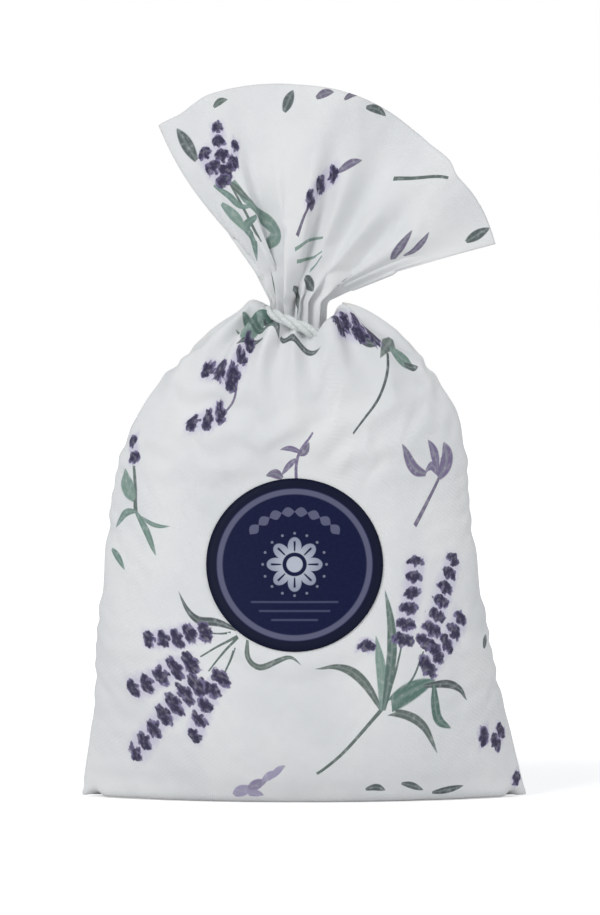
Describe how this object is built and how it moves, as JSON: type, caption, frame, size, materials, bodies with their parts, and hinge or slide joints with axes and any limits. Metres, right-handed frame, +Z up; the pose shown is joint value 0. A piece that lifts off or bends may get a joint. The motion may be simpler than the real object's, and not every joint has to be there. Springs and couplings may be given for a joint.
{
  "type": "lavender sachet",
  "caption": "Stuffed cotton pouch with a lavender-sprig print, tied at the neck under a fanned cloth ruff, with a round label on the front; stands on its flat base.",
  "frame": {"origin": "middle of the base, on the surface that the sachet stands on", "axes": "+Z up from the base to the ruff, front with the label towards -Y, +X to the right as seen from the front"},
  "size_m": [0.0896, 0.039, 0.1418],
  "materials": {
    "printed_cotton": "matte",
    "sewing_thread": "matte",
    "lavender_buds": "matte",
    "label_paper": "satin",
    "cotton_cord": "matte"
  },
  "bodies": {
    "pouch": {"front_panel": "printed_cotton", "back_panel": "printed_cotton", "left_seam_thread": "sewing_thread", "right_seam_thread": "sewing_thread", "bottom_seam_thread": "sewing_thread", "lavender_fill": "lavender_buds", "label": "label_paper", "neck_tie": "cotton_cord", "tie_knot": "cotton_cord"},
    "neck": {"neck_gather": "printed_cotton"},
    "ruff": {"ruff_front": "printed_cotton", "ruff_back": "printed_cotton"}
  },
  "joints": [
    {"name": "neck_nod", "type": "hinge", "parent": "pouch", "child": "neck", "pos_m": [-0.002, 0, 0.09977], "axis": [1, 0, 0], "range_deg": [-25, 25], "stiffness_Nm_per_rad": 0.002},
    {"name": "ruff_tilt", "type": "hinge", "parent": "neck", "child": "ruff", "pos_m": [-0.002, 0, 0.09977], "axis": [0, 1, 0], "range_deg": [-40, 5], "stiffness_Nm_per_rad": 0.002}
  ]
}
